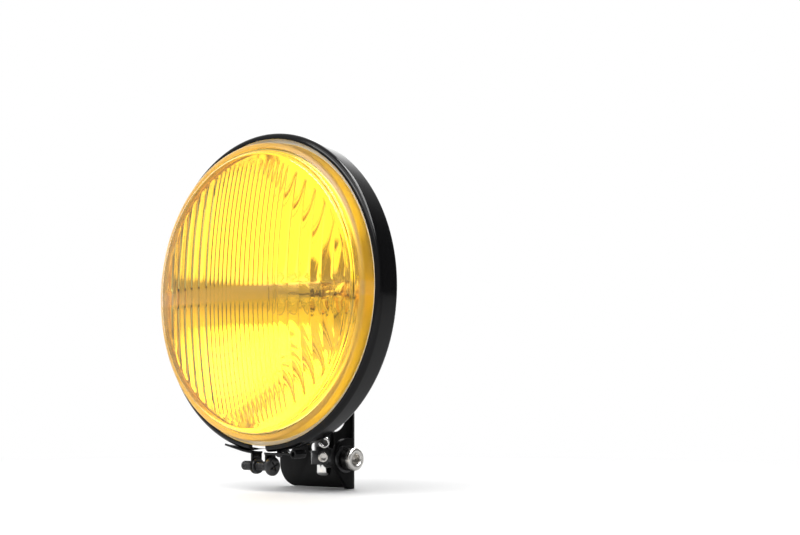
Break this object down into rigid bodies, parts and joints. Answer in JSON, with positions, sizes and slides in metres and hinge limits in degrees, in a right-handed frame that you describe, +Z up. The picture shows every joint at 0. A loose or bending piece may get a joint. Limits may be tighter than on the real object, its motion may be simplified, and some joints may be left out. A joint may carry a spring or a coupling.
{
  "type": "auxiliary driving lamp",
  "caption": "Round driving lamp with a fluted amber glass held by a split clamp rim on a dished steel shell, which tilts and pans on a folded black bracket.",
  "frame": {"origin": "centre of the bracket's rectangle of bolt holes, on the back face of its web", "axes": "+X to the right as the lamp is seen from in front, +Y backwards out of the bracket's back face, +Z up"},
  "size_m": [0.18, 0.1251, 0.202],
  "materials": {
    "bracket_black": "satin black powder coat",
    "rim_black": "gloss black enamel",
    "shell_black": "gloss black enamel",
    "hardware_black": "black zinc",
    "stainless": "stainless, turned",
    "polished_steel": "polished",
    "amber_glass": "pressed amber glass",
    "clear_glass": "clear",
    "seal_rubber": "grey rubber",
    "boot_rubber": "black rubber",
    "reflector_bright": "bright aluminised",
    "tungsten": "plain",
    "brass": "plain brass",
    "insulator": "brown phenolic"
  },
  "bodies": {
    "bracket": {"bracket": "bracket_black"},
    "knuckle": {"knuckle": "hardware_black", "set_screw": "stainless", "pivot_screw": "stainless", "pivot_washer": "hardware_black", "friction_washer": "hardware_black"},
    "lamp": {"rim_band": "rim_black", "left_clamp_ear": "rim_black", "right_clamp_ear": "rim_black", "ear_rivet": "hardware_black", "clamp_nut": "hardware_black", "lens": "amber_glass", "lens_seal": "seal_rubber", "reflector": "reflector_bright", "housing": "shell_black", "rear_boot": "boot_rubber", "stud_boss": "shell_black", "swivel_stud": "polished_steel", "stud_spacer": "hardware_black", "stud_clip": "polished_steel", "stud_nut": "stainless", "stud_lock_washer": "stainless", "stud_washer": "stainless"},
    "clamp_screw": {"clamp_screw": "hardware_black"},
    "bulb_unit": {"bulb_glass": "clear_glass", "bulb_stem": "clear_glass", "bulb_filament": "tungsten", "bulb_cap": "brass", "bulb_contact": "tungsten", "bulb_holder": "stainless", "holder_insulator": "insulator", "contact_plunger": "brass", "contact_spring": "tungsten", "supply_terminal": "brass"}
  },
  "joints": [
    {"name": "lamp_tilt", "type": "hinge", "parent": "bracket", "child": "knuckle", "pos_m": [0.028, -0.011, -0.01565], "axis": [1, 0, 0], "range_deg": [-6, 12]},
    {"name": "lamp_pan", "type": "hinge", "parent": "knuckle", "child": "lamp", "pos_m": [0.028, -0.011, -0.01565], "axis": [0, 0, 1], "range_deg": [-20, 20]},
    {"name": "clamp_screw_turn", "type": "hinge", "parent": "lamp", "child": "clamp_screw", "pos_m": [0.028, -0.0566, -0.0189], "axis": [1, 0, 0], "continuous": true},
    {"name": "bulb_holder_twist", "type": "hinge", "parent": "lamp", "child": "bulb_unit", "pos_m": [0.028, -0.06, 0.079], "axis": [0, -1, 0], "range_deg": [0, 35]}
  ]
}
